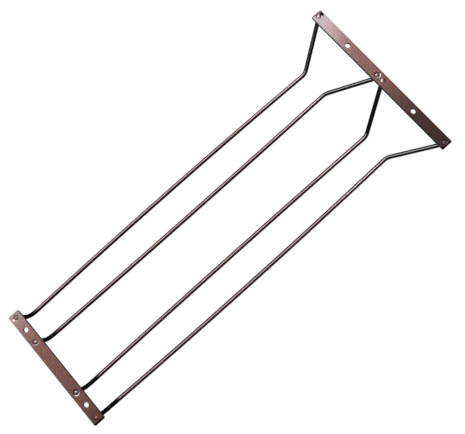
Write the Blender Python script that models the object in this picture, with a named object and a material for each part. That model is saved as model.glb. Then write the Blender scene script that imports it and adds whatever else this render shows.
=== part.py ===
"""Hanging wine glass rack: two flat mounting bars and four formed wires.

Each pair of wires is one open channel. A glass hangs upside down in it, with its foot
over the two wires and its stem between them, and goes in at the flared front end.

The frame is in metres. The origin is the middle of the front bar's top face, +Y runs
back to the rear bar, +X is to the right for someone who looks that way, and +Z is up.
Both bars' top faces lie at z = 0, against the shelf that carries the rack.
"""

import math

import bmesh
import bpy
from mathutils import Vector

# Layout of the two channels
CHANNEL_PITCH = 0.108  # between the channels' centre lines, and between a bar's screw holes
BAR_SPACING = 0.4918  # between the two bars' centre lines
SLOT_WIDTH = 0.0355  # between the centres of one channel's two wires
MOUTH_WIDTH = 0.0984  # the same where the wires meet the front bar
RUN_DROP = 0.0382  # from the top faces down to the centre of the level runs
FLARE_LENGTH = 0.047  # from the front bar's centre line back to the flare's lower corner
STUB_LENGTH = 0.0073  # from the front bar's underside down to the flare's upper corner
OUTER_BOW = 0.0024  # how far an outer wire's run bows away from its channel
INNER_BOW = 0.0011  # the same for an inner wire

# Wire stock and its bends, measured to the wire's centre line
WIRE_DIAMETER = 0.0053
REAR_BEND_RADIUS = 0.009
FLARE_BEND_RADIUS = 0.012
TOP_BEND_RADIUS = 0.008

# Flat bar stock
BAR_WIDTH = 0.0142
BAR_THICKNESS = 0.0032
FRONT_END_MARGIN = 0.0053  # from the outermost rivet's axis to the front bar's end
REAR_END_MARGIN = 0.0063  # the same on the rear bar
BAR_CORNER_RADIUS = 0.0016
BAR_EDGE_ROUND = 0.0007
SCREW_HOLE_DIAMETER = 0.0058
SEAT_LENGTH = 0.018  # of the flat that each screw hole has to itself, clear of the wires

# Headed wire ends: a turned shoulder below the bar and a domed head in a dish above it
SEAT_GAP = 0.0003  # between a wire's end and the bar that it is set in
SHOULDER_WIDTH = 0.00095  # how much the wire's radius is turned down to pass the bar
STEP_RISE = 0.0001  # the slight slope of the shoulder and of the head's underside
DISH_DEPTH = 0.001
DISH_FLARE = 0.0012  # how much wider the dish is at the top face than at its floor
HEAD_LIP = 0.00045  # how far the head reaches over the edge of its hole
HEAD_RIM = 0.0002  # height of the head's upright rim, below its dome
HEAD_RECESS = 0.0001  # how far the head's crown stays below the top face

CUT_OVERRUN = 0.001  # how far a cutter reaches past the face that it cuts
MERGE_DISTANCE = 0.000001

# Facets
WIRE_BEVEL_RESOLUTION = 6  # gives sixteen sides
BEND_STEP = math.radians(9)
RUN_STEPS = 10
DOME_STEPS = 4
CROWN_ANGLE = math.radians(80)  # the dome stops here and is closed by a small flat
CORNER_SEGMENTS = 4
EDGE_SEGMENTS = 3
HOLE_SIDES = 32
SMOOTH_LIMIT = math.radians(40)

# Worked out from the sizes above
WIRE_RADIUS = WIRE_DIAMETER / 2
TENON_RADIUS = WIRE_RADIUS - SHOULDER_WIDTH
RIVET_HOLE_RADIUS = TENON_RADIUS + SEAT_GAP
HEAD_RADIUS = RIVET_HOLE_RADIUS + HEAD_LIP
DISH_FLOOR_RADIUS = HEAD_RADIUS + SEAT_GAP
DISH_RADIUS = DISH_FLOOR_RADIUS + DISH_FLARE
SHOULDER_DROP = BAR_THICKNESS + SEAT_GAP
FLARE_TOP_DROP = BAR_THICKNESS + STUB_LENGTH
CHANNEL_X = CHANNEL_PITCH / 2
REAR_RIVETS = [CHANNEL_X - SLOT_WIDTH / 2, CHANNEL_X + SLOT_WIDTH / 2]
FRONT_RIVETS = [CHANNEL_X - MOUTH_WIDTH / 2, CHANNEL_X + MOUTH_WIDTH / 2]
REAR_BAR_LENGTH = 2 * (REAR_RIVETS[1] + REAR_END_MARGIN)
FRONT_BAR_LENGTH = 2 * (FRONT_RIVETS[1] + FRONT_END_MARGIN)


def clear_scene():
    for obj in list(bpy.data.objects):
        bpy.data.objects.remove(obj)


def plated_steel(name, colour, roughness):
    """Steel with an antique copper plate: a metal of this colour (linear) and roughness."""
    material = bpy.data.materials.new(name)
    material.use_nodes = True
    shader = material.node_tree.nodes["Principled BSDF"]
    shader.inputs["Base Color"].default_value = (*colour, 1)
    shader.inputs["Metallic"].default_value = 1
    shader.inputs["Roughness"].default_value = roughness
    material.diffuse_color = (*colour, 1)
    return material


def add_object(name, data, parent, location=(0, 0, 0)):
    obj = bpy.data.objects.new(name, data)
    bpy.context.scene.collection.objects.link(obj)
    obj.parent = parent
    obj.location = location
    return obj


def shade(mesh):
    mesh.shade_smooth()
    mesh.set_sharp_from_angle(angle=SMOOTH_LIMIT)


def turned(bm, profile, centre_x):
    """Adds a solid turned about an upright axis. The profile is (radius, height) pairs, from
    the bottom of the axis to its top.
    """
    points = [bm.verts.new((centre_x + radius, 0, height)) for radius, height in profile]
    edges = [bm.edges.new(pair) for pair in zip(points, points[1:])]
    bmesh.ops.spin(
        bm,
        geom=points + edges,
        cent=(centre_x, 0, 0),
        axis=(0, 0, 1),
        angle=math.tau,
        steps=HOLE_SIDES,
        use_merge=True,
    )
    bmesh.ops.remove_doubles(bm, verts=bm.verts, dist=MERGE_DISTANCE)


def rivet_hole_profile():
    """The hole that a wire's end passes through, and the dish round its head."""
    slope = DISH_FLARE / DISH_DEPTH
    return [
        (0, -BAR_THICKNESS - CUT_OVERRUN),
        (RIVET_HOLE_RADIUS, -BAR_THICKNESS - CUT_OVERRUN),
        (RIVET_HOLE_RADIUS, -DISH_DEPTH),
        (DISH_FLOOR_RADIUS, -DISH_DEPTH),
        (DISH_RADIUS, 0),
        (DISH_RADIUS + slope * CUT_OVERRUN, CUT_OVERRUN),
        (0, CUT_OVERRUN),
    ]


def screw_hole_profile():
    radius = SCREW_HOLE_DIAMETER / 2
    bottom = -BAR_THICKNESS - CUT_OVERRUN
    return [(0, bottom), (radius, bottom), (radius, CUT_OVERRUN), (0, CUT_OVERRUN)]


def add_cutter(name, bar, rivets):
    """One hidden object that holds the cutters for all of a bar's holes."""
    bm = bmesh.new()
    for side in (-1, 1):
        turned(bm, screw_hole_profile(), side * CHANNEL_X)
        for rivet_x in rivets:
            turned(bm, rivet_hole_profile(), side * rivet_x)
    bmesh.ops.recalc_face_normals(bm, faces=bm.faces)
    mesh = bpy.data.meshes.new(name)
    bm.to_mesh(mesh)
    bm.free()
    shade(mesh)
    cutter = add_object(name, mesh, bar)
    cutter.hide_render = True
    cutter.display_type = "WIRE"
    return cutter


def bar_blank(name, length):
    """A length of flat bar with its corners rounded in plan and then all its edges eased."""
    bm = bmesh.new()
    bmesh.ops.create_cube(bm, size=1)
    bmesh.ops.scale(bm, verts=bm.verts, vec=(length, BAR_WIDTH, BAR_THICKNESS))
    bmesh.ops.translate(bm, verts=bm.verts, vec=(0, 0, -BAR_THICKNESS / 2))
    corners = [edge for edge in bm.edges if is_upright(edge)]
    bmesh.ops.bevel(
        bm,
        geom=corners,
        offset=BAR_CORNER_RADIUS,
        segments=CORNER_SEGMENTS,
        profile=0.5,
        affect="EDGES",
    )
    rims = [edge for edge in bm.edges if not is_upright(edge) and is_outline(edge)]
    bmesh.ops.bevel(
        bm,
        geom=rims,
        offset=BAR_EDGE_ROUND,
        segments=EDGE_SEGMENTS,
        profile=0.5,
        affect="EDGES",
    )
    part_seats(bm)
    mesh = bpy.data.meshes.new(name)
    bm.to_mesh(mesh)
    bm.free()
    shade(mesh)
    return mesh


def part_seats(bm):
    """Cuts the bar's faces across on both sides of each screw hole, so that the flat that a
    screw's head bears on is a face of its own.
    """
    for side in (-1, 1):
        for end in (-1, 1):
            seat_end = side * CHANNEL_X + end * SEAT_LENGTH / 2
            bmesh.ops.bisect_plane(
                bm,
                geom=[*bm.verts, *bm.edges, *bm.faces],
                dist=MERGE_DISTANCE,
                plane_co=(seat_end, 0, 0),
                plane_no=(1, 0, 0),
            )


def is_upright(edge):
    low, high = (vert.co for vert in edge.verts)
    return math.hypot(high.x - low.x, high.y - low.y) < MERGE_DISTANCE


def is_outline(edge):
    """Whether the edge lies between the top or bottom face and a side."""
    levels = [abs(face.normal.z) > math.cos(SMOOTH_LIMIT) for face in edge.link_faces]
    return levels.count(True) == 1


def add_bar(name, length, y, rivets, material, rack):
    bar = add_object(name, bar_blank(name, length), rack, (0, y, 0))
    bar.data.materials.append(material)
    holes = bar.modifiers.new("holes", "BOOLEAN")
    holes.operation = "DIFFERENCE"
    holes.object = add_cutter(name + "_holes", bar, rivets)
    return bar


def bowed_run(x, bow):
    """Points between the ends of a level run, from rear to front, on a shallow curve."""
    points = []
    for step in range(1, RUN_STEPS):
        share = step / RUN_STEPS
        y = BAR_SPACING + (FLARE_LENGTH - BAR_SPACING) * share
        points.append(Vector((x + 4 * bow * share * (1 - share), y, -RUN_DROP)))
    return points


def bend(before, corner, after, radius):
    """The points of an arc that rounds a corner, with the radius kept within both legs."""
    back = before - corner
    ahead = after - corner
    turn = math.pi - back.angle(ahead)
    reach = min(radius * math.tan(turn / 2), back.length, ahead.length)
    radius = reach / math.tan(turn / 2)
    start = corner + back.normalized() * reach
    inward = back.normalized() + ahead.normalized()
    centre = corner + inward.normalized() * math.hypot(radius, reach)
    arm = start - centre
    along = -back.normalized() * radius
    steps = math.ceil(turn / BEND_STEP)
    angles = [turn * step / steps for step in range(steps + 1)]
    return [centre + arm * math.cos(angle) + along * math.sin(angle) for angle in angles]


def headed_end():
    """(height, radius) pairs up a wire's end: its shoulder, its tenon and its domed head."""
    head_bottom = -DISH_DEPTH + SEAT_GAP
    dome_bottom = head_bottom + STEP_RISE + HEAD_RIM
    dome_height = -HEAD_RECESS - dome_bottom
    end = [
        (-SHOULDER_DROP - STEP_RISE, WIRE_RADIUS),
        (-SHOULDER_DROP, TENON_RADIUS),
        (head_bottom, TENON_RADIUS),
        (head_bottom + STEP_RISE, HEAD_RADIUS),
    ]
    for step in range(DOME_STEPS + 1):
        angle = CROWN_ANGLE * step / DOME_STEPS
        height = dome_bottom + dome_height * math.sin(angle) / math.sin(CROWN_ANGLE)
        end.append((height, HEAD_RADIUS * math.cos(angle)))
    return end


def wire_stations(channel_x, outward, bow):
    """(point, radius) pairs along one wire, from its rear head to its front head.

    outward is -1 or 1, the side of its channel that the wire is on.
    """
    rear_x = channel_x + outward * SLOT_WIDTH / 2
    front_x = channel_x + outward * MOUTH_WIDTH / 2
    rear_foot = Vector((rear_x, BAR_SPACING, -RUN_DROP))
    flare_foot = Vector((rear_x, FLARE_LENGTH, -RUN_DROP))
    flare_top = Vector((front_x, 0, -FLARE_TOP_DROP))
    front_shoulder = Vector((front_x, 0, -SHOULDER_DROP - STEP_RISE))
    rear_shoulder = Vector((rear_x, BAR_SPACING, -SHOULDER_DROP - STEP_RISE))
    run = bowed_run(rear_x, outward * bow)
    formed = [
        *bend(rear_shoulder, rear_foot, run[0], REAR_BEND_RADIUS),
        *run,
        *bend(run[-1], flare_foot, flare_top, FLARE_BEND_RADIUS),
        *bend(flare_foot, flare_top, front_shoulder, TOP_BEND_RADIUS),
    ]
    rear_end = [(Vector((rear_x, BAR_SPACING, z)), radius) for z, radius in headed_end()]
    front_end = [(Vector((front_x, 0, z)), radius) for z, radius in headed_end()]
    return rear_end[::-1] + [(point, WIRE_RADIUS) for point in formed] + front_end


def add_wire(name, stations, material, rack):
    """A round wire swept through its stations, made a mesh so that its edges can be marked."""
    curve = bpy.data.curves.new(name, "CURVE")
    curve.dimensions = "3D"
    curve.bevel_depth = WIRE_RADIUS
    curve.bevel_resolution = WIRE_BEVEL_RESOLUTION
    curve.use_fill_caps = True
    spline = curve.splines.new("POLY")
    spline.points.add(len(stations) - 1)
    for control, (point, radius) in zip(spline.points, stations):
        control.co = (*point, 1)
        control.radius = radius / WIRE_RADIUS
    guide = add_object(name + "_route", curve, rack)
    mesh = bpy.data.meshes.new_from_object(guide)
    bpy.data.objects.remove(guide)
    mesh.name = name
    mesh.materials.append(material)
    shade(mesh)
    return add_object(name, mesh, rack)


def main():
    clear_scene()
    bar_finish = plated_steel("antique_copper_bar", (0.27, 0.15, 0.13), 0.38)
    wire_finish = plated_steel("antique_copper_wire", (0.16, 0.085, 0.07), 0.3)
    rack = add_object("rack", None, None)
    add_bar("front_bar", FRONT_BAR_LENGTH, 0, FRONT_RIVETS, bar_finish, rack)
    add_bar("rear_bar", REAR_BAR_LENGTH, BAR_SPACING, REAR_RIVETS, bar_finish, rack)
    for side, side_name in ((-1, "left"), (1, "right")):
        outer = wire_stations(side * CHANNEL_X, side, OUTER_BOW)
        add_wire(side_name + "_outer_wire", outer, wire_finish, rack)
        inner = wire_stations(side * CHANNEL_X, -side, INNER_BOW)
        add_wire(side_name + "_inner_wire", inner, wire_finish, rack)


main()
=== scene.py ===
"""The finished looks of the hanging wine glass rack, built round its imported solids.

Each bar and each wire is modelled again with the detail of the real one: rolled edges, dished rivet
holes and the wires' own hammered ends. The floor, the lamps and the camera come last.
"""

import math
from collections import namedtuple

import bmesh
import bpy
from mathutils import Matrix, Vector


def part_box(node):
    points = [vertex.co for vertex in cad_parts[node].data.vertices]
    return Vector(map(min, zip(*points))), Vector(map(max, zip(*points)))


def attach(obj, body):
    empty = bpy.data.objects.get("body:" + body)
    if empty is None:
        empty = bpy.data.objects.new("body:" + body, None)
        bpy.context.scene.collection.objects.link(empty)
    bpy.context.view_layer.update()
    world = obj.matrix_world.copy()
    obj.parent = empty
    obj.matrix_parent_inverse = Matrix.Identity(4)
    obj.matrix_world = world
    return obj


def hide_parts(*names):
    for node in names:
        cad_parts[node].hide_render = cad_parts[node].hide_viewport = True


bl_info = {
    "name": "Hanging wine glass rack",
    "version": (1, 0, 0),
    "blender": (4, 5, 0),
    "location": "3D View > Sidebar > Glass rack",
    "description": "Models a riveted wire rack for wine glasses, with its finish and its photo stage",
    "category": "Add Mesh",
}

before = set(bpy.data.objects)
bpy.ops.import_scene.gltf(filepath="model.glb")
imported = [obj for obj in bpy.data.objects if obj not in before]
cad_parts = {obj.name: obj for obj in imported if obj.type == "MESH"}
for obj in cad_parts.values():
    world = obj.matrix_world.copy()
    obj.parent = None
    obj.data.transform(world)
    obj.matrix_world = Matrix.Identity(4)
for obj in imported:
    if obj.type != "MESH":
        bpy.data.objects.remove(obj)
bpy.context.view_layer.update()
FRONT_LOW, FRONT_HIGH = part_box("front_bar")
REAR_LOW, REAR_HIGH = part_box("rear_bar")

BODY = "root"
FRONT_Y = (FRONT_LOW.y + FRONT_HIGH.y) / 2
REAR_Y = (REAR_LOW.y + REAR_HIGH.y) / 2
MM = 0.001
MERGE_DISTANCE = 0.000001

# Facets: round a hole, round a wire, across a rounded edge, across the ease of a hole's rim, up a hammered
# crown, along a level run, and the turn between two rings of a bend
HOLE_SIDES = 64
WIRE_SIDES = 32
ROUND_SEGMENTS = 6
EASE_POINTS = 5
CROWN_STEPS = 8
RUN_STEPS = 28
BEND_STEP = math.radians(6)

# Two faces that meet at a wider angle than this keep a sharp edge.
BAR_SHARP = math.radians(35)
WIRE_SHARP = math.radians(40)

# A cutter stands this far out of the bar, so that it cuts clean through.
CUT_OVER = 0.001
# A hole's ease stops just short of level, so that it meets the face at an edge.
EASE_TURN = math.radians(82)
# The rolled rim of a dish and the fillet of the groove round a head
DISH_RIM = 0.0003
GROOVE_FILLET = 0.0001
# How much of a wire's end is eased below its shoulder, and how thick the edge of its head is
SHOULDER_EASE = 0.0004
HEAD_EDGE = 0.00015

# The wires' ends as they were hammered over, by bar and side (-1 is left, +1 is right), in mm: the radius
# of the dish at the top face, the drop of its sloping wall, the radius of the groove in it, the radius of
# the head and of its crown, how far the crown stays below the top face, and how far it leans in X and Y.
Rivet = namedtuple("Rivet", "dish drop groove head crown recess lean_x lean_y")
RIVETS_IN_MM = {
    ("front", -1, "outer"): (3.6, 0.3, 2.7, 2.3, 1.3, 0.3, 0.1, 0.1),
    ("front", -1, "inner"): (3.4, 0.1, 3.25, 3.15, 3.0, 0.06, 0.1, 0.1),
    ("front", 1, "inner"): (3.9, 0.42, 2.6, 2.3, 0.9, 0.2, 0.1, 0.0),
    ("front", 1, "outer"): (3.7, 0.3, 2.5, 2.3, 1.4, 0.15, 0.1, 0.0),
    ("rear", -1, "outer"): (2.7, 0.1, 2.4, 2.2, 1.5, 0.2, 0.0, 0.1),
    ("rear", -1, "inner"): (4.3, 0.36, 2.7, 2.4, 1.4, 0.06, -0.4, 0.1),
    ("rear", 1, "inner"): (3.8, 0.2, 2.6, 2.4, 1.4, 0.1, 0.0, 0.1),
    ("rear", 1, "outer"): (3.4, 0.2, 2.5, 2.42, 1.6, 0.3, 0.1, 0.2),
}
RIVETS = {place: Rivet(*(size * MM for size in sizes)) for place, sizes in RIVETS_IN_MM.items()}

# Painted shade: how a bar's copper lightens from left to right, as more light falls there: the X up to
# which it's dark, the X from which it's light, and the two shades. The last value is the direction that
# the painted highlight on its dishes' walls faces, as an angle from X in radians.
BarPaintedLight = namedtuple("BarPaintedLight", "dark_to light_from dark light bright_facing")
FRONT_PAINTED_LIGHT = BarPaintedLight(-0.06, 0.0, 0.26, 0.78, 0.0)
REAR_PAINTED_LIGHT = BarPaintedLight(-0.07, -0.055, 0.68, 0.94, 0.44)

# A pair is where a patch of the finish fades out and where it's full, in metres along the named axis.
# The front bar's right end, painted grey as the pale cast of the highlight there, in X
GREYED_END = (0.086, 0.097)
# A dish's wall and the groove below it, in Z
WALL_TOP = (-0.00002, -0.00006)
WALL_FOOT = (-0.00044, -0.00040)
GROOVE_TOP = (-0.00040, -0.00044)
# Just above the bars' underside, in Z
ABOVE_UNDERSIDE = (-0.0031, -0.0030)
# A hammered crown, in Z
CROWN_FOOT = (-0.00034, -0.00026)
# The copper along a wire's level run, in Y: at the rear it ends on a line that slants from wire to wire
COPPER_FRONT = (0.046, 0.058)
COPPER_REAR = (0.479, 0.473)
REAR_SLANT = -0.05
# Where the wires' lacquer thins out before the rear bends, in Y on the same slant
LACQUER_REAR = (0.472, 0.480)
# The front bar's left outer crown is duller than the others there, in X.
DULL_CROWN = (-0.012, -0.008)
# The front bar's two inner heads, in X to each side
INNER_HEADS = (0.012, 0.010)
# How far in from a bar's end these lie: the painted pale right edge, the painted black left edge, and the
# roll
PAINTED_PALE_END = (0.004, 0.002)
PAINTED_DARK_END = (0.0028, 0.0021)
ROLLED_END = (0.0017, 0.0021)
# The painted shades of a bar between which its lacquer and the painted highlight on its dishes' walls go
# from dull to bright
PAINTED_SHADES = (0.26, 0.6)

# How long the features of the finish's patterns are in X, Y and Z. The brush marks are 1.1 mm wide,
# coarser than real ones, so that they show.
CLOUDS = (0.006, 0.003, 0.003)
TINTS = (0.011, 0.005, 0.005)
BRUSH_MARKS = (0.004, 0.0011, 0.0011)
GRAIN = (0.0022, 0.0012, 0.0012)
RUBBED_PATCHES = (0.004, 0.014, 0.004)

# Marks on the bars' top faces: the middle in X and Y, and the reach each way
Mark = namedtuple("Mark", "x y reach_x reach_y")
BLACK_SPOT = Mark(0.1038, -0.0045, 0.0048, 0.0024)
# A painted highlight by the rear bar's right outer rivet
PAINTED_GLINT = Mark(0.0714, 0.4955, 0.0021, 0.0019)

# The lamps: direction and height in degrees, width and height as angles in degrees, and distance, all as
# seen from the rack's middle, then radiance, and how far the lamp is slid along Y from there
Softbox = namedtuple("Softbox", "name turn height wide tall reach radiance slide")
SOFTBOXES = (
    Softbox("key_strip", 307, 48, 12, 40, 1.4, 6.2, 0.0),
    Softbox("side_softbox", 0, 61.1, 58, 26.8, 3.0, 4.1, 0.55),
    Softbox("top_softbox", 174, 89, 52, 42, 1.4, 0.33, -0.2),
)
MIDDLE_Y = 0.25
MIDDLE_Z = -0.01
LAMP_COLOUR = "#F8F8FF"

FLOOR_SIZE = 60
FLOOR_COLOUR = "#F4F4F4"
FLOOR_GLOW = 1.07
# How much of the floor's own glow the camera and the metal see, over its true light and shadow
GLOW_SHARE = 0.88
# The room is pale below the first height and dim above the second, as the Z of a direction.
ROOM_FADE = (0.06, 0.34)
ROOM_DIM = 0.03

# The camera, which looks at the rack as the photograph does: its place, its own right, up and back, and
# its sensor's width in mm
CAMERA_PLACE = (-0.088948, 0.261042, 0.60819)
CAMERA_RIGHT = Vector((-0.663914, -0.745651, -0.05677))
CAMERA_UP = Vector((0.735641, -0.664865, 0.129565))
CAMERA_BACK = Vector((-0.134355, 0.044258, 0.989944))
SENSOR_WIDTH = 36


def deselect_all():
    """Leaves object mode with nothing selected, because the loaded solids come in selected."""
    if bpy.context.object is not None and bpy.context.object.mode == "EDIT":
        bpy.ops.object.mode_set(mode="OBJECT")
    bpy.ops.object.select_all(action="DESELECT")


def apply_modifier(obj, kind, **settings):
    """Adds a modifier to the active object, sets it and applies it."""
    bpy.ops.object.modifier_add(type=kind)
    modifier = obj.modifiers[-1]
    for name, value in settings.items():
        setattr(modifier, name, value)
    bpy.ops.object.modifier_apply(modifier=modifier.name)


def edit_edges(obj, wanted):
    """Selects the edges of a mesh in edit mode that wanted says yes to."""
    bpy.ops.mesh.select_mode(type="EDGE")
    bpy.ops.mesh.select_all(action="DESELECT")
    bm = bmesh.from_edit_mesh(obj.data)
    count = 0
    for edge in bm.edges:
        if wanted(edge):
            edge.select = True
            count += 1
    bm.select_flush_mode()
    bmesh.update_edit_mesh(obj.data)
    if not count:
        raise RuntimeError(f"no edges of {obj.name} were found to shape")


def is_upright(edge):
    """Whether an edge stands straight up."""
    low, high = (vert.co for vert in edge.verts)
    return math.hypot(high.x - low.x, high.y - low.y) < MERGE_DISTANCE


def is_rim(edge):
    """Whether an edge lies between the top or bottom face and a side."""
    levels = [abs(face.normal.z) > 0.99 for face in edge.link_faces]
    return levels.count(True) == 1


def wire_x(sizes, end, side, place):
    """The X at which a wire passes through the front or the rear bar."""
    width = sizes.mouth_width if end == "front" else sizes.slot_width
    outward = side if place == "outer" else -side
    return side * sizes.channel_pitch / 2 + outward * width / 2


def ring_to(centre, moved, scale):
    """Extrudes the selected ring or cap by a step and then sizes it about its new centre."""
    bpy.ops.mesh.extrude_region_move(TRANSFORM_OT_translate={"value": moved})
    if abs(scale - 1) > 1e-6:
        bpy.ops.transform.resize(value=(scale, scale, 1), center_override=centre)


def turn_profile(name, x, y, profile):
    """A round cutter, grown upwards ring by ring from (radius, height) pairs."""
    radius, height = profile[0]
    deselect_all()
    bpy.ops.mesh.primitive_circle_add(
        vertices=HOLE_SIDES,
        radius=radius,
        fill_type="NGON",
        enter_editmode=True,
        location=(x, y, height),
    )
    cutter = bpy.context.object
    cutter.name = name
    bpy.ops.mesh.select_all(action="SELECT")
    for next_radius, next_height in profile[1:]:
        ring_to((x, y, next_height), (0, 0, next_height - height), next_radius / radius)
        radius, height = next_radius, next_height
    bpy.ops.mesh.select_all(action="SELECT")
    bpy.ops.mesh.normals_make_consistent(inside=False)
    bpy.ops.object.mode_set(mode="OBJECT")
    bpy.ops.object.transform_apply(location=True, rotation=True, scale=True)
    return cutter


def eased(radius, level, ease, outwards):
    """(radius, height) pairs of a small round between a hole's wall and the face at this level.

    outwards is 1 for a round that opens as it rises to a top face, and -1 for one that closes as it
    rises from a bottom face.
    """
    pairs = []
    for point in range(EASE_POINTS):
        angle = EASE_TURN * point / (EASE_POINTS - 1)
        height = level - outwards * ease * (1 - math.sin(angle))
        pairs.append((radius + ease * (1 - math.cos(angle)), height))
    return pairs if outwards > 0 else pairs[::-1]


def screw_hole_profile(sizes):
    """A straight hole with eased rims."""
    radius = sizes.screw_hole / 2
    bottom = -sizes.bar_thickness
    low = eased(radius, bottom, sizes.hole_round, -1)
    high = eased(radius, 0, sizes.hole_round, 1)
    return [(low[0][0], bottom - CUT_OVER), *low, *high, (high[-1][0], CUT_OVER)]


def rivet_hole_profile(sizes, rivet):
    """The clearance hole below, the groove round the head, and the dish's sloping wall and rolled rim."""
    depth = sizes.dish_depth
    hole = sizes.rivet_hole / 2
    # The top 13 % of the wall's drop is rounded off into the rim.
    return [
        (hole, -sizes.bar_thickness - CUT_OVER),
        (hole, -depth),
        (rivet.groove - GROOVE_FILLET, -depth),
        (rivet.groove, -depth + GROOVE_FILLET),
        (rivet.groove + GROOVE_FILLET / 2, -rivet.drop - GROOVE_FILLET / 2),
        (rivet.groove + GROOVE_FILLET, -rivet.drop),
        (rivet.dish - DISH_RIM, -rivet.drop * 0.13),
        (rivet.dish, -rivet.drop * 0.04),
        (rivet.dish + DISH_RIM, -0.00001),
        (rivet.dish + DISH_RIM * 1.1, CUT_OVER),
    ]


def end_weight(edge, least):
    """How wide an edge's round is, as a share: widest on the top edges of the sheared ends."""
    sides = [face.normal for face in edge.link_faces if abs(face.normal.z) < 0.5]
    tops = [face.normal for face in edge.link_faces if face.normal.z > 0.5]
    if not tops:
        return least
    return least + (1 - least) * abs(sides[0].x)


def add_bar(name, node, end, low, high, y, sizes, finish):
    """One flat bar: an eased blank, drilled and dished, that stands for the plain solid."""
    length = high.x - low.x
    width = high.y - low.y
    thickness = high.z - low.z
    deselect_all()
    bpy.ops.mesh.primitive_cube_add(
        size=1, location=(0, y, high.z - thickness / 2), scale=(length, width, thickness)
    )
    bar = bpy.context.object
    bar.name = name
    bpy.ops.object.transform_apply(location=True, rotation=True, scale=True)
    bpy.ops.object.mode_set(mode="EDIT")
    edit_edges(bar, is_upright)
    bpy.ops.mesh.bevel(
        offset=sizes.bar_corner, segments=ROUND_SEGMENTS, profile=0.5, affect="EDGES"
    )
    edit_edges(bar, is_rim)
    bm = bmesh.from_edit_mesh(bar.data)
    weights = bm.edges.layers.float.new("bevel_weight_edge")
    for edge in bm.edges:
        if edge.select:
            edge[weights] = end_weight(edge, sizes.bar_edge / sizes.end_roll)
    bmesh.update_edit_mesh(bar.data)
    bpy.ops.object.mode_set(mode="OBJECT")
    apply_modifier(
        bar, "BEVEL", limit_method="WEIGHT", width=sizes.end_roll, segments=ROUND_SEGMENTS
    )

    cutters = []
    for side in (-1, 1):
        profile = screw_hole_profile(sizes)
        cutters.append(turn_profile(name + "_cutter", side * sizes.channel_pitch / 2, y, profile))
        for place in ("inner", "outer"):
            profile = rivet_hole_profile(sizes, RIVETS[(end, side, place)])
            x = wire_x(sizes, end, side, place)
            cutters.append(turn_profile(name + "_cutter", x, y, profile))
    deselect_all()
    for cutter in cutters:
        cutter.select_set(True)
    bpy.context.view_layer.objects.active = cutters[0]
    bpy.ops.object.join()
    drill = bpy.context.object
    deselect_all()
    bar.select_set(True)
    bpy.context.view_layer.objects.active = bar
    undrilled = len(bar.data.vertices)
    apply_modifier(bar, "BOOLEAN", operation="DIFFERENCE", object=drill)
    bpy.data.objects.remove(drill)
    if len(bar.data.vertices) == undrilled:
        raise RuntimeError(f"the holes of {name} weren't cut")
    bpy.ops.object.shade_smooth_by_angle(angle=BAR_SHARP)
    apply_modifier(bar, "WEIGHTED_NORMAL", keep_sharp=True)
    bar.data.materials.clear()
    bar.data.materials.append(finish)
    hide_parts(node)
    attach(bar, BODY)
    return bar


def bend_ring(start, heading, next_heading, radius):
    """Spins the selected ring round a bend and says where it ends."""
    turn = heading.angle(next_heading)
    axis = heading.cross(next_heading).normalized()
    centre = start + axis.cross(heading).normalized() * radius
    steps = math.ceil(turn / BEND_STEP)
    # A positive angle here turns clockwise about the axis.
    bpy.ops.mesh.spin(steps=steps, angle=-turn, center=centre, axis=axis)
    turned = Matrix.Rotation(turn, 4, axis)
    return centre + turned @ (start - centre)


def head_profile(sizes, rivet):
    """(height, radius) pairs up a wire's end from its shoulder: tenon, underside, rim and crown."""
    wire = sizes.wire / 2
    tenon = sizes.rivet_hole / 2 - sizes.seat_gap
    shoulder = -sizes.bar_thickness - sizes.seat_gap
    under = -sizes.dish_depth + sizes.seat_gap
    rim = under + HEAD_EDGE
    top = -rivet.recess
    # The flange slopes up to a crown, which is a cap of a ball. The wider the crown, the lower it starts.
    # The shoulder and the head's edges are eased by up to a tenth of their radius.
    foot = rim + (top - rim) * 0.42 * (1 - (rivet.crown / rivet.head) ** 6)
    pairs = [
        (shoulder - SHOULDER_EASE / 2, wire * 0.97),
        (shoulder, wire * 0.9),
        (shoulder, tenon),
        (under, tenon),
        (under, rivet.head * 0.96),
        (under + HEAD_EDGE * 2 / 3, rivet.head),
        (rim, rivet.head * 0.985),
        (foot, rivet.crown),
    ]
    ball = (rivet.crown**2 + (top - foot) ** 2) / (2 * (top - foot))
    widest = math.asin(min(1, rivet.crown / ball))
    for step in range(1, CROWN_STEPS):
        angle = widest * (1 - step / CROWN_STEPS)
        pairs.append((top - ball * (1 - math.cos(angle)), ball * math.sin(angle)))
    pairs.append((top, rivet.crown * 0.02))
    return pairs


def grow_head(x, y, start_height, sizes, rivet):
    """Draws the selected ring up into a shouldered end with a domed head, and closes its crown."""
    lean = Vector((rivet.lean_x, rivet.lean_y))
    pairs = head_profile(sizes, rivet)
    under = -sizes.dish_depth + sizes.seat_gap
    top = pairs[-1][0]
    height, radius = start_height, sizes.wire / 2
    offset = Vector((0, 0))
    for next_height, next_radius in pairs:
        share = max(0, (next_height - under) / (top - under))
        next_offset = lean * share * share
        moved = next_offset - offset
        centre = (x + next_offset.x, y + next_offset.y, next_height)
        ring_to(centre, (moved.x, moved.y, next_height - height), next_radius / radius)
        height, radius, offset = next_height, next_radius, next_offset
    bpy.ops.mesh.merge(type="CENTER")


def select_ring_at_origin(wire, reach):
    """Selects the ring that the wire was started from, which still lies round the object's origin."""
    bpy.ops.mesh.select_all(action="DESELECT")
    bm = bmesh.from_edit_mesh(wire.data)
    for vert in bm.verts:
        level = abs(vert.co.z) < MERGE_DISTANCE
        vert.select = level and abs(vert.co.x) < reach and abs(vert.co.y) < reach
    bm.select_flush_mode()
    bmesh.update_edit_mesh(wire.data)


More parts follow.
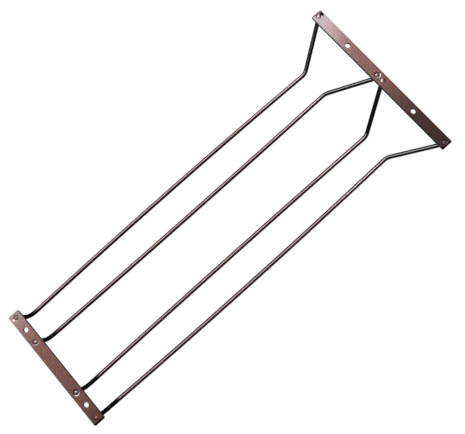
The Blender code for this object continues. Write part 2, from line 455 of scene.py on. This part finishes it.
def add_wire(name, node, side, place, sizes, finish):
    """One wire, formed as on a bending jig from its rear end to its front end, then headed."""
    outward = side if place == "outer" else -side
    bow = sizes.outer_bow if place == "outer" else sizes.inner_bow
    rear_x = wire_x(sizes, "rear", side, place)
    front_x = wire_x(sizes, "front", side, place)
    radius = sizes.wire / 2
    shoulder = -sizes.bar_thickness - sizes.seat_gap - SHOULDER_EASE

    down = Vector((0, 0, -1))
    forward = Vector((0, -1, 0))
    upward = Vector((0, 0, 1))
    flare_foot = Vector((rear_x, sizes.flare_length, -sizes.run_drop))
    flare_top = Vector((front_x, FRONT_Y, -sizes.flare_top))
    flare = (flare_top - flare_foot).normalized()
    foot_reach = sizes.flare_bend * math.tan(forward.angle(flare) / 2)
    top_reach = sizes.top_bend * math.tan(flare.angle(upward) / 2)

    deselect_all()
    bpy.ops.mesh.primitive_circle_add(
        vertices=WIRE_SIDES,
        radius=radius,
        fill_type="NOTHING",
        enter_editmode=True,
        location=(rear_x, REAR_Y, shoulder),
    )
    wire = bpy.context.object
    wire.name = name
    bpy.ops.mesh.select_mode(type="VERT")
    bpy.ops.mesh.select_all(action="SELECT")

    # Down the rear leg and round to the level run
    rear_leg_end = Vector((rear_x, REAR_Y, -sizes.run_drop + sizes.rear_bend))
    ring_to(rear_leg_end, (0, 0, rear_leg_end.z - shoulder), 1)
    run_start = bend_ring(rear_leg_end, down, forward, sizes.rear_bend)

    # Along the bowed run to the start of the flare
    run_end = flare_foot - forward * foot_reach
    here = run_start
    for step in range(1, RUN_STEPS + 1):
        share = step / RUN_STEPS
        there = run_start.lerp(run_end, share)
        there.x += outward * bow * 4 * share * (1 - share)
        ring_to(there, there - here, 1)
        here = there

    # Out and up the flare, and round to the front bar
    here = bend_ring(run_end, forward, flare, sizes.flare_bend)
    flare_end = flare_top - flare * top_reach
    ring_to(flare_end, flare_end - here, 1)
    here = bend_ring(flare_end, flare, upward, sizes.top_bend)
    ring_to((front_x, FRONT_Y, shoulder), (0, 0, shoulder - here.z), 1)
    grow_head(front_x, FRONT_Y, shoulder, sizes, RIVETS[("front", side, place)])

    # Back at the rear end, the other head
    select_ring_at_origin(wire, radius * 1.1)
    grow_head(rear_x, REAR_Y, shoulder, sizes, RIVETS[("rear", side, place)])
    bpy.ops.mesh.select_all(action="SELECT")
    bpy.ops.mesh.remove_doubles(threshold=MERGE_DISTANCE)
    bpy.ops.mesh.normals_make_consistent(inside=False)
    bpy.ops.object.mode_set(mode="OBJECT")
    bpy.ops.object.transform_apply(location=True, rotation=True, scale=True)
    bpy.ops.object.shade_smooth_by_angle(angle=WIRE_SHARP)
    wire.data.materials.append(finish)
    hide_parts(node)
    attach(wire, BODY)
    return wire


def linear(hex_colour):
    """The linear RGBA of an sRGB hex colour."""
    channels = [int(hex_colour[i : i + 2], 16) / 255 for i in (1, 3, 5)]
    return [c / 12.92 if c <= 0.04045 else ((c + 0.055) / 1.055) ** 2.4 for c in channels] + [1]


def add_node(tree, kind, inputs=None, **settings):
    """Adds one node with its settings. An input is a value, or another node's output to link."""
    node = tree.nodes.new("ShaderNode" + kind)
    for name, value in settings.items():
        setattr(node, name, value)
    for socket, value in (inputs or {}).items():
        if isinstance(value, bpy.types.NodeSocket):
            tree.links.new(value, node.inputs[socket])
        else:
            node.inputs[socket].default_value = value
    return node


def new_material(name):
    """An empty node material and its tree."""
    material = bpy.data.materials.new(name)
    material.use_nodes = True
    material.node_tree.nodes.clear()
    return material, material.node_tree


def product(tree, *factors):
    """Multiplies masks or other values."""
    result = factors[0]
    for factor in factors[1:]:
        result = add_node(tree, "Math", {0: result, 1: factor}, operation="MULTIPLY").outputs[0]
    return result


def greatest(tree, first, second):
    """The greater of two values at each point."""
    return add_node(tree, "Math", {0: first, 1: second}, operation="MAXIMUM").outputs[0]


def unsigned(tree, value):
    """A value without its sign."""
    return add_node(tree, "Math", {0: value}, operation="ABSOLUTE").outputs[0]


def ramp(tree, value, low, high, start=0.0, end=1.0):
    """Turns a value between low and high into one between start and end, held there outside."""
    ends = {"Value": value, "From Min": low, "From Max": high, "To Min": start, "To Max": end}
    return add_node(tree, "MapRange", ends).outputs[0]


def blend(tree, share, first, second, way="MIX"):
    """Mixes two colours by a share of the second."""
    node = add_node(tree, "Mix", data_type="RGBA", blend_type=way)
    for socket, value in ((0, share), (6, first), (7, second)):
        if isinstance(value, bpy.types.NodeSocket):
            tree.links.new(value, node.inputs[socket])
        else:
            node.inputs[socket].default_value = value
    return node.outputs[2]


def level_mask(tree, low, high):
    """How much a face looks up or down: 0 where its normal's upright share is low, 1 where high."""
    normal = add_node(tree, "TexCoord").outputs["Normal"]
    parts = add_node(tree, "SeparateXYZ", {"Vector": normal})
    return add_node(
        tree,
        "MapRange",
        {"Value": unsigned(tree, parts.outputs["Z"]), "From Min": low, "From Max": high},
        interpolation_type="SMOOTHSTEP",
    ).outputs[0]


def noise(tree, vector, reach, **inputs):
    """Noise whose features are as long in X, Y and Z as reach says, in metres."""
    scale = tuple(1 / length for length in reach)
    fitted = add_node(tree, "Mapping", {"Vector": vector, "Scale": scale})
    return add_node(tree, "TexNoise", {"Vector": fitted.outputs[0], "Scale": 1.0, **inputs}).outputs["Fac"]


def nearness(tree, place, mark):
    """1 in the middle of a mark on a top face, down to 0 at its edge."""
    moved = add_node(tree, "Mapping", {"Vector": place, "Location": (-mark.x, -mark.y, 0)}).outputs[0]
    scale = (1 / mark.reach_x, 1 / mark.reach_y, 1)
    fitted = add_node(tree, "Mapping", {"Vector": moved, "Scale": scale}).outputs[0]
    return add_node(tree, "TexGradient", {"Vector": fitted}, gradient_type="SPHERICAL").outputs["Fac"]


def brushed_copper(tree, centred, x, shade, colours):
    """The bars' copper where it shows: cloudy patches of brown, violet and olive, brushed lengthwise."""
    cloud = noise(tree, centred, CLOUDS, Detail=3.0, Roughness=0.65)
    tint = noise(tree, centred, TINTS, Detail=1.0)
    olive = linear(colours.bar_olive)
    hue = blend(tree, ramp(tree, tint, 0.35, 0.65), olive, linear(colours.bar_violet))
    tone = blend(tree, ramp(tree, cloud, 0.3, 0.7), linear(colours.bar), hue)
    # Painted highlight: the right end is greyed, for the pale cast of the light there.
    tone = blend(tree, ramp(tree, x, *GREYED_END, 0.0, 0.7), tone, linear(colours.bar_end))
    streak = noise(tree, centred, BRUSH_MARKS, Detail=2.0)
    # Painted shade: the brushed copper is multiplied by the bar's painted shade.
    streaked = product(tree, ramp(tree, streak, 0.25, 0.75, 0.7, 1.3), shade)
    return blend(tree, 1.0, tone, streaked, "MULTIPLY")


def wall_burnish_and_highlight(tree, where, shade, rubbed, inset, bright_facing):
    """Painted highlight on a dish's sloping wall, partly burnish from the riveting tool: most where it
    faces one direction, towards the light.
    """
    direction = (math.cos(bright_facing), math.sin(bright_facing), 0)
    normal = add_node(tree, "TexCoord").outputs["Normal"]
    leaning = add_node(tree, "VectorMath", {0: normal, 1: direction}, operation="DOT_PRODUCT")
    return product(
        tree,
        ramp(tree, where["Z"], *WALL_TOP),
        ramp(tree, where["Z"], *WALL_FOOT),
        level_mask(tree, 0.8, 0.88),
        rubbed,
        ramp(tree, shade, *PAINTED_SHADES, 0.08, 1.0),
        ramp(tree, leaning.outputs["Value"], 0.04, 0.18, 0.1, 1.0),
        inset,
    )


def antique_copper_bar(name, centre_y, half_length, painted_light, colours):
    """Antique copper plate on flat steel bar, brushed and then lacquered.

    The dark brown metal gives a broad, dull sheen, and the lacquer on the flats a pale, sharper one.
    Edges are black, partly dark oxide and partly painted shade, and grooves a brown oxide. The copper is
    painted darker towards the left end as painted shade, and the dishes' walls are pale, partly burnish
    from the riveting tool and partly a painted highlight where they face the light.
    """
    material, tree = new_material(name)
    place = add_node(tree, "TexCoord").outputs["Object"]
    centred = add_node(tree, "Mapping", {"Vector": place, "Location": (0, -centre_y, 0)}).outputs[0]
    where = add_node(tree, "SeparateXYZ", {"Vector": place}).outputs
    # Painted shade: the copper darkens from right to left, as less light falls there.
    shade = ramp(tree, where["X"], painted_light.dark_to, painted_light.light_from, painted_light.dark, painted_light.light)
    brushed = brushed_copper(tree, centred, where["X"], shade, colours)

    # The front bar has a black spot by its right outer rivet, where the copper and the lacquer don't show.
    rubbed = ramp(tree, nearness(tree, place, BLACK_SPOT), 0.05, 0.35, 1.0, 0.0)
    flat = product(tree, level_mask(tree, 0.9, 0.985), rubbed)
    # Painted shade and highlight: the edges are painted black, partly oxide and partly shade, but for
    # those of the right end, painted pale where the light catches them.
    at_right_end = ramp(tree, where["X"], *(half_length - inward for inward in PAINTED_PALE_END))
    edge = blend(tree, at_right_end, linear(colours.patina_and_shade), linear(colours.bar_end))
    plate = blend(tree, flat, edge, brushed)
    # Painted shade: the left end's wide edge is painted black, where it faces away from the light.
    at_left_end = ramp(tree, where["X"], *(inward - half_length for inward in PAINTED_DARK_END))
    plate = blend(tree, at_left_end, plate, linear(colours.patina_and_shade))

    # The rolled ends aren't taken for a dish's wall or its groove.
    from_middle = unsigned(tree, where["X"])
    inset = ramp(tree, from_middle, *(half_length - inward for inward in ROLLED_END))
    # Painted highlight: the dishes' walls are painted pale, most where they face the light and where the
    # bar is lit.
    wall = wall_burnish_and_highlight(tree, where, shade, rubbed, inset, painted_light.bright_facing)
    plate = blend(tree, wall, plate, linear(colours.burnish_and_highlight))
    groove = product(
        tree,
        ramp(tree, where["Z"], *GROOVE_TOP),
        ramp(tree, where["Z"], *ABOVE_UNDERSIDE),
        level_mask(tree, 0.8, 0.95),
        inset,
    )
    plate = blend(tree, groove, plate, linear(colours.hollow))
    # Painted highlight: a small bright glint painted by the rear bar's right outer rivet.
    glint = ramp(tree, nearness(tree, place, PAINTED_GLINT), 0.0, 0.5)
    plate = blend(tree, glint, plate, linear(colours.burnish_and_highlight))

    # The lacquer is thin on edges, on the painted highlights of the dishes' walls and on the painted dark
    # left end, thinner where the bar's painted shade is dark, and missing from the black spot.
    lacquer = product(
        tree,
        ramp(tree, level_mask(tree, 0.66, 0.8), 0.0, 1.0, 0.1, 1.0),
        rubbed,
        ramp(tree, wall, 0.0, 1.0, 1.0, 0.3),
        ramp(tree, shade, *PAINTED_SHADES, 0.6, 1.0),
        ramp(tree, at_left_end, 0.0, 1.0, 1.0, 0.3),
    )
    grain = noise(tree, centred, GRAIN, Detail=2.0, Roughness=0.6)
    relief = add_node(tree, "Bump", {"Height": grain, "Strength": 1.0, "Distance": 0.00001})
    shader = add_node(
        tree,
        "BsdfPrincipled",
        {
            "Base Color": plate,
            "Metallic": 1.0,
            "Roughness": ramp(tree, greatest(tree, wall, glint), 0.0, 1.0, 0.55, 0.35),
            "Normal": relief.outputs[0],
            "Coat Weight": lacquer,
            "Coat Roughness": 0.15,
            "Coat IOR": 1.7,
        },
    )
    add_node(tree, "OutputMaterial", {"Surface": shader.outputs[0]})
    return material


def antique_copper_wire(name, colours):
    """Antique copper plate on drawn wire, lacquered.

    The level runs were rubbed back to brown copper on top and below. Their sides, the legs and the bends
    are black, partly dark oxide and partly painted shade in place of the dark surroundings the real metal
    reflects, so that only the lacquer shines there, along the tops of the flares. The hammered crowns are
    polished bright. The lacquer's index is higher than a real one's, so that its narrow highlight looks as
    bright as it does on the real wire.
    """
    material, tree = new_material(name)
    place = add_node(tree, "TexCoord").outputs["Object"]
    where = add_node(tree, "SeparateXYZ", {"Vector": place}).outputs
    slant = add_node(
        tree, "Math", {0: where["X"], 1: REAR_SLANT, 2: where["Y"]}, operation="MULTIPLY_ADD"
    ).outputs[0]
    uneven = noise(tree, place, RUBBED_PATCHES, Detail=2.0)
    # Copper on the runs' tops and undersides; elsewhere black, partly oxide and partly painted shade.
    copper = product(
        tree,
        ramp(tree, where["Y"], *COPPER_FRONT),
        ramp(tree, slant, *COPPER_REAR),
        level_mask(tree, 0.91, 0.98),
        ramp(tree, uneven, 0.3, 0.7, 0.6, 1.0),
    )
    plate = blend(tree, copper, linear(colours.wire_patina_and_shade), linear(colours.wire))

    # The crowns are brightest in the rear bar, and dullest at the front bar's left end.
    front_shine = ramp(tree, where["X"], *DULL_CROWN, 0.3, 0.42)
    rear_shine = ramp(tree, where["Y"], 0.1, 0.2)
    crown = product(tree, ramp(tree, where["Z"], *CROWN_FOOT), greatest(tree, front_shine, rear_shine))
    head = ramp(tree, where["Z"], *ABOVE_UNDERSIDE)
    plate = blend(tree, head, plate, linear(colours.head))
    plate = blend(tree, crown, plate, linear(colours.crown))

    # The lacquer is thin on the sides, the rear bends, the crowns and the front bar's inner heads.
    inner_head = product(tree, ramp(tree, unsigned(tree, where["X"]), *INNER_HEADS), head)
    lacquer = product(
        tree,
        ramp(tree, level_mask(tree, 0.7, 0.82), 0.0, 1.0, 0.1, 1.0),
        ramp(tree, slant, *LACQUER_REAR, 1.0, 0.12),
        ramp(tree, crown, 0.0, 1.0, 1.0, 0.2),
        ramp(tree, inner_head, 0.0, 1.0, 1.0, 0.5),
    )
    shader = add_node(
        tree,
        "BsdfPrincipled",
        {
            "Base Color": plate,
            "Metallic": 1.0,
            "Roughness": ramp(tree, crown, 0.0, 1.0, 0.42, 0.35),
            "Specular Tint": (0.05, 0.05, 0.05, 1.0),
            "Coat Weight": lacquer,
            "Coat Roughness": 0.1,
            "Coat IOR": 2.1,
        },
    )
    add_node(tree, "OutputMaterial", {"Surface": shader.outputs[0]})
    return material


def pale_matt_floor():
    """Matt white paint, which the camera and the metal see nearly white, with a little of its shadow."""
    material, tree = new_material("pale_matt_floor")
    paint = add_node(tree, "BsdfDiffuse", {"Color": linear(FLOOR_COLOUR)})
    glow = add_node(tree, "Emission", {"Color": (1, 1, 1, 1), "Strength": FLOOR_GLOW})
    path = add_node(tree, "LightPath").outputs
    seen = greatest(tree, path["Is Camera Ray"], path["Is Glossy Ray"])
    seen = greatest(tree, seen, path["Is Transmission Ray"])
    share = product(tree, seen, GLOW_SHARE)
    both = add_node(tree, "MixShader", {0: share, 1: paint.outputs[0], 2: glow.outputs[0]})
    add_node(tree, "OutputMaterial", {"Surface": both.outputs[0]})
    return material


def dim_room():
    """A dim room that is pale only low down, where it meets the floor."""
    world = bpy.data.worlds.new("dim_room")
    world.use_nodes = True
    tree = world.node_tree
    heading = add_node(tree, "TexCoord").outputs["Generated"]
    height = add_node(tree, "SeparateXYZ", {"Vector": heading}).outputs["Z"]
    room = tree.nodes["Background"].inputs
    tree.links.new(ramp(tree, height, *ROOM_FADE, 1.0, ROOM_DIM), room["Strength"])
    room["Color"].default_value = (1, 1, 1, 1)
    return world


def add_softbox(box):
    """One area lamp, aimed at the rack's middle and then slid along Y."""
    turn, height = math.radians(box.turn), math.radians(box.height)
    outward = Vector(
        (math.cos(height) * math.cos(turn), math.cos(height) * math.sin(turn), math.sin(height))
    )
    bpy.ops.object.light_add(
        type="AREA",
        location=Vector((0, MIDDLE_Y + box.slide, MIDDLE_Z)) + outward * box.reach,
        rotation=(math.pi / 2 - height, 0, turn + math.pi / 2),
    )
    lamp = bpy.context.object
    lamp.name = box.name
    lamp.data.shape = "RECTANGLE"
    lamp.data.size = 2 * box.reach * math.tan(math.radians(box.wide / 2))
    lamp.data.size_y = 2 * box.reach * math.tan(math.radians(box.tall / 2))
    lamp.data.color = linear(LAMP_COLOUR)[:3]
    lamp.data.energy = box.radiance * math.pi * lamp.data.size * lamp.data.size_y


class RackSizes(bpy.types.PropertyGroup):
    """The sizes of the bars, their holes and the wires"""

    bar_thickness: bpy.props.FloatProperty(
        name="Bar thickness",
        description="Thickness of the flat bar",
        default=0.0032,
        unit="LENGTH",
        precision=5,
    )
    bar_corner: bpy.props.FloatProperty(
        name="Bar corners",
        description="Radius of the bar's corners in plan",
        default=0.0016,
        unit="LENGTH",
        precision=5,
    )
    bar_edge: bpy.props.FloatProperty(
        name="Bar edges",
        description="Radius of the long edges",
        default=0.0006,
        unit="LENGTH",
        precision=5,
    )
    channel_pitch: bpy.props.FloatProperty(
        name="Channel pitch",
        description="Between the middles of the two channels",
        default=0.108,
        unit="LENGTH",
        precision=5,
    )
    screw_hole: bpy.props.FloatProperty(
        name="Screw hole",
        description="Diameter of the four screw holes",
        default=0.0058,
        unit="LENGTH",
        precision=5,
    )
    hole_round: bpy.props.FloatProperty(
        name="Hole rounding",
        description="Ease of the screw holes' rims",
        default=0.00025,
        unit="LENGTH",
        precision=5,
    )
    rivet_hole: bpy.props.FloatProperty(
        name="Rivet hole",
        description="Diameter of the hole for a wire's end",
        default=0.004,
        unit="LENGTH",
        precision=5,
    )
    dish_depth: bpy.props.FloatProperty(
        name="Groove depth",
        description="Depth of the groove round a head",
        default=0.0007,
        unit="LENGTH",
        precision=5,
    )
    end_roll: bpy.props.FloatProperty(
        name="End roll",
        description="Radius of the sheared ends' top edges",
        default=0.0022,
        unit="LENGTH",
        precision=5,
    )
    seat_gap: bpy.props.FloatProperty(
        name="Seat gap",
        description="Between a wire's end and its bar",
        default=0.0001,
        unit="LENGTH",
        precision=5,
    )
    wire: bpy.props.FloatProperty(
        name="Wire", description="Diameter of the wire", default=0.0053, unit="LENGTH", precision=5
    )
    slot_width: bpy.props.FloatProperty(
        name="Slot",
        description="Between the centres of a channel's wires",
        default=0.0355,
        unit="LENGTH",
        precision=5,
    )
    mouth_width: bpy.props.FloatProperty(
        name="Mouth",
        description="Between the wires' centres at the front bar",
        default=0.0984,
        unit="LENGTH",
        precision=5,
    )
    run_drop: bpy.props.FloatProperty(
        name="Drop",
        description="From the top face to the level runs' centres",
        default=0.0382,
        unit="LENGTH",
        precision=5,
    )
    flare_length: bpy.props.FloatProperty(
        name="Flare",
        description="From the front bar to the flare's foot",
        default=0.047,
        unit="LENGTH",
        precision=5,
    )
    flare_top: bpy.props.FloatProperty(
        name="Flare top",
        description="From the top face to the flare's top",
        default=0.0105,
        unit="LENGTH",
        precision=5,
    )
    outer_bow: bpy.props.FloatProperty(
        name="Outer bow", description="Bow of an outer run", default=0.0024, unit="LENGTH", precision=5
    )
    inner_bow: bpy.props.FloatProperty(
        name="Inner bow", description="Bow of an inner run", default=0.0011, unit="LENGTH", precision=5
    )
    rear_bend: bpy.props.FloatProperty(
        name="Rear bend", description="Radius of the rear bend", default=0.009, unit="LENGTH", precision=5
    )
    flare_bend: bpy.props.FloatProperty(
        name="Flare bend",
        description="Radius at the flare's foot",
        default=0.012,
        unit="LENGTH",
        precision=5,
    )
    top_bend: bpy.props.FloatProperty(
        name="Top bend", description="Radius at the flare's top", default=0.008, unit="LENGTH", precision=5
    )


class RackColours(bpy.types.PropertyGroup):
    """The colours of the finish"""

    bar: bpy.props.StringProperty(
        name="Bar, brown", description="sRGB hex of the bars' antique copper", default="#946155"
    )
    bar_violet: bpy.props.StringProperty(
        name="Bar, violet", description="sRGB hex of the violet patches on the bars", default="#906469"
    )
    bar_olive: bpy.props.StringProperty(
        name="Bar, olive", description="sRGB hex of the olive patches on the bars", default="#87664C"
    )
    # Painted highlight: the grey of the front bar's lit right end and of its edges
    bar_end: bpy.props.StringProperty(
        name="Bar, grey end", description="sRGB hex of the front bar's greyed right end", default="#74696C"
    )
    # Partly dark oxide and partly painted shade: the black of the bars' edges and of the left end
    patina_and_shade: bpy.props.StringProperty(
        name="Bar, patina", description="sRGB hex of the bars' black edges", default="#1A1413"
    )
    hollow: bpy.props.StringProperty(
        name="Bar, hollows", description="sRGB hex of the grooves round the heads", default="#563E38"
    )
    # Partly burnish and partly painted highlight: the pale colour of the dishes' lit walls and of one
    # glint
    burnish_and_highlight: bpy.props.StringProperty(
        name="Burnished", description="sRGB hex of the dishes' walls", default="#C9B7AE"
    )
    wire: bpy.props.StringProperty(
        name="Wire, copper", description="sRGB hex of the wires' rubbed tops", default="#84584D"
    )
    crown: bpy.props.StringProperty(
        name="Wire, crowns", description="sRGB hex of the hammered crowns", default="#AB998D"
    )
    head: bpy.props.StringProperty(
        name="Wire, heads", description="sRGB hex of the flanges of the hammered heads", default="#6C5350"
    )
    # Partly dark oxide and partly painted shade: the black of the wires' sides, legs and bends
    wire_patina_and_shade: bpy.props.StringProperty(
        name="Wire, patina", description="sRGB hex of the wires' dark patina", default="#0D0C0C"
    )


class RackStage(bpy.types.PropertyGroup):
    """The camera's lens and the floor's place"""

    lens: bpy.props.FloatProperty(name="Lens", description="Focal length in mm", default=42.084)
    floor_drop: bpy.props.FloatProperty(
        name="Floor", description="How far the floor is below the top faces", default=0.16, unit="LENGTH"
    )


class RACK_OT_bars(bpy.types.Operator):
    """Models the two drilled and dished mounting bars"""

    bl_idname = "rack.bars"
    bl_label = "Mounting bars"

    def execute(self, context):
        sizes = context.scene.rack_sizes
        colours = context.scene.rack_colours
        front_finish = antique_copper_bar(
            "antique_copper_plated_flat_bar", FRONT_Y, FRONT_HIGH.x, FRONT_PAINTED_LIGHT, colours
        )
        add_bar(
            "front_flat_bar", "front_bar", "front", FRONT_LOW, FRONT_HIGH, FRONT_Y, sizes, front_finish
        )
        rear_finish = antique_copper_bar(
            "antique_copper_plated_flat_bar_rear", REAR_Y, REAR_HIGH.x, REAR_PAINTED_LIGHT, colours
        )
        add_bar("rear_flat_bar", "rear_bar", "rear", REAR_LOW, REAR_HIGH, REAR_Y, sizes, rear_finish)
        return {"FINISHED"}


class RACK_OT_wires(bpy.types.Operator):
    """Models the four formed wires with their hammered ends"""

    bl_idname = "rack.wires"
    bl_label = "Formed wires"

    def execute(self, context):
        sizes = context.scene.rack_sizes
        colours = context.scene.rack_colours
        finish = antique_copper_wire("antique_copper_plated_wire", colours)
        for side, side_name in ((-1, "left"), (1, "right")):
            for place in ("outer", "inner"):
                node = f"{side_name}_{place}_wire"
                add_wire(f"{side_name}_{place}_rod", node, side, place, sizes, finish)
        return {"FINISHED"}


class RACK_OT_stage(bpy.types.Operator):
    """Sets the floor, the lamps, the world and the camera"""

    bl_idname = "rack.stage"
    bl_label = "Photo stage"

    def execute(self, context):
        settings = context.scene.rack_stage
        scene = context.scene
        deselect_all()
        bpy.ops.mesh.primitive_plane_add(size=FLOOR_SIZE, location=(0, MIDDLE_Y, -settings.floor_drop))
        floor = bpy.context.object
        floor.name = "pale_floor"
        floor.data.materials.append(pale_matt_floor())
        scene.world = dim_room()
        for box in SOFTBOXES:
            add_softbox(box)

        bpy.ops.object.camera_add(location=CAMERA_PLACE)
        camera = bpy.context.object
        camera.name = "photo_camera"
        axes = Matrix((CAMERA_RIGHT, CAMERA_UP, CAMERA_BACK)).transposed()
        camera.rotation_euler = axes.to_euler()
        camera.data.lens = settings.lens
        camera.data.sensor_width = SENSOR_WIDTH
        scene.camera = camera
        scene.view_settings.view_transform = "Standard"
        deselect_all()
        return {"FINISHED"}


class RACK_PT_panel(bpy.types.Panel):
    """Lists the rack's sizes, colours and building steps"""

    bl_idname = "RACK_PT_panel"
    bl_label = "Hanging wine glass rack"
    bl_space_type = "VIEW_3D"
    bl_region_type = "UI"
    bl_category = "Glass rack"

    def draw(self, context):
        for group in (context.scene.rack_sizes, context.scene.rack_colours, context.scene.rack_stage):
            box = self.layout.box()
            for name in group.bl_rna.properties.keys():
                if name not in ("rna_type", "name"):
                    box.prop(group, name)
        for operator in (RACK_OT_bars, RACK_OT_wires, RACK_OT_stage):
            self.layout.operator(operator.bl_idname)


CLASSES = (
    RackSizes,
    RackColours,
    RackStage,
    RACK_OT_bars,
    RACK_OT_wires,
    RACK_OT_stage,
    RACK_PT_panel,
)


def register():
    """Adds the classes and the scene's settings."""
    for cls in CLASSES:
        bpy.utils.register_class(cls)
    bpy.types.Scene.rack_sizes = bpy.props.PointerProperty(type=RackSizes)
    bpy.types.Scene.rack_colours = bpy.props.PointerProperty(type=RackColours)
    bpy.types.Scene.rack_stage = bpy.props.PointerProperty(type=RackStage)


def unregister():
    """Takes the settings and the classes away again."""
    del bpy.types.Scene.rack_stage
    del bpy.types.Scene.rack_colours
    del bpy.types.Scene.rack_sizes
    for cls in reversed(CLASSES):
        bpy.utils.unregister_class(cls)


def main():
    register()
    bpy.ops.rack.bars()
    bpy.ops.rack.wires()
    bpy.ops.rack.stage()


if __name__ == "__main__":
    main()
